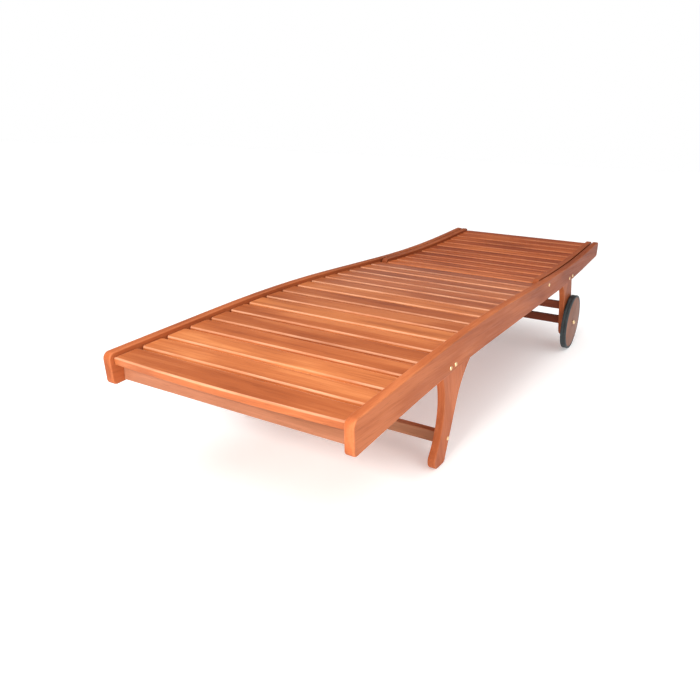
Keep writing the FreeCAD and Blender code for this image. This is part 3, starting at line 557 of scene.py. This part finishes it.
railWood = oiledWood("railWood", railLook)
longWood = oiledWood("longWood", longLook)
paleWood = oiledWood("paleWood", paleLook, acrossGrain)
footLitWood = oiledWood("footLitWood", footLitLook, acrossGrain)
rearShadedWood = oiledWood("rearShadedWood", rearShadeLook, acrossGrain)
frontLegWood = oiledWood("frontLegWood", frontLegLitLook, (70, 0, 0))
rearLegWood = oiledWood("rearLegWood", railLook, (112, 0, 0))

easedPairs = {  # easing of the arrises, wood and body
    "side_rail": (0.0036, longWood, "frame"), "backrest_stile": (0.0025, longWood, "backrest"),
    "front_leg": (0.0028, frontLegWood, "frame"), "rear_leg": (0.0028, rearLegWood, "frame"),
    "prop_arm": (0.0016, railWood, "prop"), "prop_block": (0.0012, railWood, "backrest"),
    "seat_ledger": (0.0010, railWood, "frame"), "rest_rack": (0.0010, railWood, "frame")}
easedCrossBoards = {
    "front_apron": (0.0022, paleWood), "front_stretcher": (0.0022, footLitWood),
    "rear_upper_stretcher": (0.0025, rearShadedWood), "rear_lower_stretcher": (0.0025, rearShadedWood)}

for stem, (easing, wood, body) in easedPairs.items():
    for side in sides:
        node = stem + "_" + side
        piece = easedCopy(node, easing, 3 if easing > 0.001 else 2)
        finishPiece(piece, wood, body, "frame_wood", node)
for node, (easing, wood) in easedCrossBoards.items():
    finishPiece(easedCopy(node, easing), wood, "frame", "frame_wood", node)
print("rails, legs and boards finished")


# wheels

wheelWood = oiledWood("wheelWood", wheelLook, (90, 0, 0))
rubber = tyreRubber()
brass = dulledBrass()
steel = brushedSteel()

wheel = {"bore": 0.00508, "rimEase": 0.0015, "hubRadius": 0.017, "hubGroove": 0.0009, "discSteps": 128,
         "treadDepth": 0.0021, "treadHalf": 0.0017, "shoulder": 0.0024, "tyreSteps": 144}


def discProfile(inner, outer, radius):
    # flush with the tyre, with a turned ring around the hub on the outside
    e, hub, dip, bore = (wheel[k] for k in ("rimEase", "hubRadius", "hubGroove", "bore"))
    return [(inner, bore), (inner, radius - e), (inner + e * 0.3, radius - e * 0.3), (inner + e, radius),
            (outer - e, radius), (outer - e * 0.3, radius - e * 0.3), (outer, radius - e),
            (outer, hub + 0.0012), (outer - dip, hub + 0.0006), (outer - dip, hub),
            (outer - 0.0002, hub - 0.0008), (outer, hub - 0.0016), (outer, bore), (inner, bore)]


def tyreProfile(inner, outer, seat, r):
    # rounded shoulders and one groove around the tread
    middle, half = (inner + outer) / 2, (outer - inner) / 2
    g, w, s = wheel["treadDepth"], wheel["treadHalf"], wheel["shoulder"]
    across = [(w * 0.45, r - g), (w, r - g * 0.75), (w * 1.35, r - 0.0004), (w * 1.9, r), (half - s, r),
              (half - s * 0.35, r - s * 0.18), (half - s * 0.05, r - s * 0.6), (half, r - s * 1.2)]
    tread = [(middle - x, y) for x, y in reversed(across)] + [(middle + x, y) for x, y in across]
    return [(inner, seat)] + tread + [(outer, seat), (inner, seat)]


for side, sign in sides.items():
    body = "wheel_" + side
    discLow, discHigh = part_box("wheel_disc_" + side)
    tyreLow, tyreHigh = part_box("wheel_tyre_" + side)
    inner, outer = sorted((abs(discLow[0]), abs(discHigh[0])))
    centre = ((tyreLow[1] + tyreHigh[1]) / 2, (tyreLow[2] + tyreHigh[2]) / 2)
    discRadius = (discHigh[1] - discLow[1]) / 2
    tyreRadius = (tyreHigh[1] - tyreLow[1]) / 2
    bm = bmesh.new()
    lathe(bm, discProfile(inner, outer, discRadius), centre, sign, wheel["discSteps"])
    closeTurned(bm)
    finishPiece(newObject("wheelDisc." + side, bm), wheelWood, body, "wheel_wood", "wheel_disc_" + side)
    bm = bmesh.new()
    lathe(bm, tyreProfile(inner, outer, discRadius + 0.0001, tyreRadius), centre, sign, wheel["tyreSteps"])
    closeTurned(bm, 60)
    finishPiece(newObject("wheelTyre." + side, bm), rubber, body, "tyre", "wheel_tyre_" + side)
print("wheels finished")


# axle and bolts

def arcPoints(x, radius, height, count=5):
    # points of a low dome, from the rim to the crown
    angles = [math.pi / 2 * i / count for i in range(count + 1)]
    return [(x + height * math.sin(a), radius * math.cos(a)) for a in angles]


def face(node, side):
    # how far out a right-hand part's inner (0) or outer (1) face is
    return abs(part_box(node)[side][0])


axle = {"rod": 0.005, "washer": 0.0095, "washerEase": 0.0003, "washerGap": 0.0005,
        "cap": 0.008, "capEase": 0.0004, "capFlat": 0.0035, "capDome": 0.0049}
axleLow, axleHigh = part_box("axle")
axleCentre = ((axleLow[1] + axleHigh[1]) / 2, (axleLow[2] + axleHigh[2]) / 2)
legFace = face("rear_leg_right", 1)
wheelIn, wheelOut = face("wheel_disc_right", 0), face("wheel_disc_right", 1)
ease, gap = axle["washerEase"], axle["washerGap"]
halfAxle = [(0.0, axle["rod"]), (legFace, axle["rod"]), (legFace, axle["washer"] - ease),
            (legFace + ease, axle["washer"]), (wheelIn - gap - ease, axle["washer"]),
            (wheelIn - gap, axle["washer"] - ease), (wheelIn - gap, axle["rod"]),
            (wheelOut + gap, axle["rod"]), (wheelOut + gap, axle["cap"] - axle["capEase"]),
            (wheelOut + gap + axle["capEase"], axle["cap"])]
halfAxle += arcPoints(wheelOut + axle["capFlat"], axle["cap"], axle["capDome"], 7)
bm = bmesh.new()
for sign in sides.values():
    lathe(bm, halfAxle, axleCentre, sign, 48)
closeTurned(bm)
finishPiece(newObject("axleRod", bm), brass, "frame", "brass", "axle")


bolt = {"head": 0.0055, "height": 0.0026, "rim": 0.35, "socket": 0.0021, "seat": 0.0004,
        "washerGap": 0.0005, "stretcherGrip": 0.018}


def boltHead(bm, centre, outside, sign):
    # low domed head with a drilled socket, on the outer face of a board
    radius, height, socket = bolt["head"], bolt["height"], bolt["socket"]
    rim = height * bolt["rim"]
    profile = [(outside - bolt["seat"], radius * 0.55), (outside - bolt["seat"], radius),
               (outside + rim, radius)]
    dome = arcPoints(outside + rim, radius, height - rim, 5)[1:]
    profile += [p for p in dome if p[1] > socket * 1.1]
    crown = profile[-1][0]
    profile += [(crown + 0.0001, socket), (crown - height * 0.5, socket * 0.92), (crown - height * 0.62, 0.0)]
    lathe(bm, profile, centre, sign, 24)


def shank(bm, centre, x0, x1, sign, radius):
    lathe(bm, [(x0, 0.0), (x0, radius), (x1, radius), (x1, 0.0)], centre, sign, 20)


def holeCentres(node, x, largest=0.02):
    # middles of the drilled holes in a board's face at x
    bm = mergedCopy(node)
    found = []
    for loop in sharpLoops(bm, math.radians(30)):
        spots = [v.co for e in loop for v in e.verts]
        if loopSize(loop) < largest and all(abs(p.x - x) < 1e-4 for p in spots):
            ys, zs = [p.y for p in spots], [p.z for p in spots]
            found.append(((min(ys) + max(ys)) / 2, (min(zs) + max(zs)) / 2, (max(ys) - min(ys)) / 2))
    bm.free()
    return sorted(found)


railInner, railFace = face("side_rail_right", 0), face("side_rail_right", 1)
legInner = face("front_leg_right", 0)
stileInner, stileOuter = face("backrest_stile_right", 0), face("backrest_stile_right", 1)
railHoles = holeCentres("side_rail_right", railFace)
hingeSpot = max(railHoles, key=lambda h: h[2])
stretcherY, stretcherZ, stretcherRadius = min(holeCentres("front_leg_right", railInner), key=lambda h: h[1])
bm = bmesh.new()
for sign in sides.values():
    for hole in railHoles:
        y, z, radius = hole
        isHinge = hole == hingeSpot
        boltHead(bm, (y, z), railFace, sign)
        shank(bm, (y, z), stileInner + bolt["washerGap"] if isHinge else legInner, railFace, sign, radius)
        if isHinge:
            x = stileOuter + bolt["washerGap"]
            lathe(bm, [(x, radius), (x, radius * 2), (railInner, radius * 2)], (y, z), sign, 24)
    boltHead(bm, (stretcherY, stretcherZ), railInner, sign)
    shank(bm, (stretcherY, stretcherZ), legInner - bolt["stretcherGrip"], railInner, sign, stretcherRadius)
closeTurned(bm)
finishPiece(newObject("frameBolts", bm), brass, "frame", "brass", "frame_bolts")

# how far in from the arm, and how wide against the pin
pinHead = [(0.0010, 1.0), (0.0010, 1.7), (0.0025, 1.8), (0.0034, 1.45), (0.0040, 0.8), (0.0040, 0.0)]
armInner = face("prop_arm_right", 0)
pinY, pinZ, pinRadius = holeCentres("prop_block_right", face("prop_block_right", 0))[0]
bm = bmesh.new()
for sign in sides.values():
    shank(bm, (pinY, pinZ), armInner - pinHead[0][0], stileInner, sign, pinRadius)
    lathe(bm, [(armInner - inward, pinRadius * share) for inward, share in pinHead], (pinY, pinZ), sign, 24)
closeTurned(bm)
finishPiece(newObject("propBolts", bm), brass, "backrest", "brass", "prop_bolts")

barLow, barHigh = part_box("prop_bar")
barCentre = ((barLow[1] + barHigh[1]) / 2, (barLow[2] + barHigh[2]) / 2)
barRadius = (barHigh[1] - barLow[1]) / 2
barEase = 0.0012
barProfile = [(barLow[0], 0.0), (barLow[0], barRadius - barEase), (barLow[0] + barEase, barRadius),
              (barHigh[0] - barEase, barRadius), (barHigh[0], barRadius - barEase), (barHigh[0], 0.0)]
bm = bmesh.new()
lathe(bm, barProfile, barCentre, 1, 40)
closeTurned(bm)
finishPiece(newObject("propBar", bm), steel, "prop", "steel", "prop_bar")
print("axle, bolts and prop bar finished")
